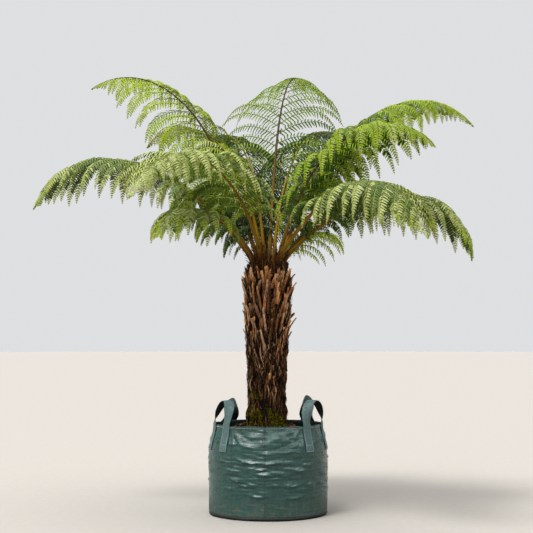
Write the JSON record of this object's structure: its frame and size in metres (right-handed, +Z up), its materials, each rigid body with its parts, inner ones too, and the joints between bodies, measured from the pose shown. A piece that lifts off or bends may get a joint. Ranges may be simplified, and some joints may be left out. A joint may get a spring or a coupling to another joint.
{
  "type": "potted tree fern",
  "caption": "Tree fern with a fibrous upright trunk and a wide crown of arching fronds, in a round woven grow bag with webbing handles.",
  "frame": {"origin": "centre of the grow bag's flat underside, on the ground", "axes": "+Z up along the trunk, +X to the right and +Y away in the front view"},
  "size_m": [2.3333, 2.02, 2.3683],
  "materials": {
    "bag": "satin",
    "webbing": "matte",
    "soil": "matte",
    "bark": "matte",
    "stipe": "satin",
    "leaf": "satin"
  },
  "bodies": {
    "root": {"grow_bag": "bag", "soil": "soil", "trunk": "bark", "handle_1": "webbing", "handle_2": "webbing", "handle_3": "webbing", "handle_4": "webbing", "frond_01_stipe": "stipe", "frond_01_inner_blade": "leaf", "frond_01_outer_blade": "leaf", "frond_02_stipe": "stipe", "frond_02_inner_blade": "leaf", "frond_02_outer_blade": "leaf", "frond_03_stipe": "stipe", "frond_03_inner_blade": "leaf", "frond_03_outer_blade": "leaf", "frond_04_stipe": "stipe", "frond_04_inner_blade": "leaf", "frond_04_outer_blade": "leaf", "frond_05_stipe": "stipe", "frond_05_inner_blade": "leaf", "frond_05_outer_blade": "leaf", "frond_06_stipe": "stipe", "frond_06_inner_blade": "leaf", "frond_06_outer_blade": "leaf", "frond_07_stipe": "stipe", "frond_07_inner_blade": "leaf", "frond_07_outer_blade": "leaf", "frond_08_stipe": "stipe", "frond_08_inner_blade": "leaf", "frond_08_outer_blade": "leaf", "frond_09_stipe": "stipe", "frond_09_inner_blade": "leaf", "frond_09_outer_blade": "leaf", "frond_10_stipe": "stipe", "frond_10_inner_blade": "leaf", "frond_10_outer_blade": "leaf", "frond_11_stipe": "stipe", "frond_11_inner_blade": "leaf", "frond_11_outer_blade": "leaf", "frond_12_stipe": "stipe", "frond_12_inner_blade": "leaf", "frond_12_outer_blade": "leaf", "frond_13_stipe": "stipe", "frond_13_inner_blade": "leaf", "frond_13_outer_blade": "leaf", "frond_14_stipe": "stipe", "frond_14_inner_blade": "leaf", "frond_14_outer_blade": "leaf", "frond_15_stipe": "stipe", "frond_15_inner_blade": "leaf", "frond_15_outer_blade": "leaf", "frond_16_stipe": "stipe", "frond_16_inner_blade": "leaf", "frond_16_outer_blade": "leaf"}
  },
  "joints": []
}
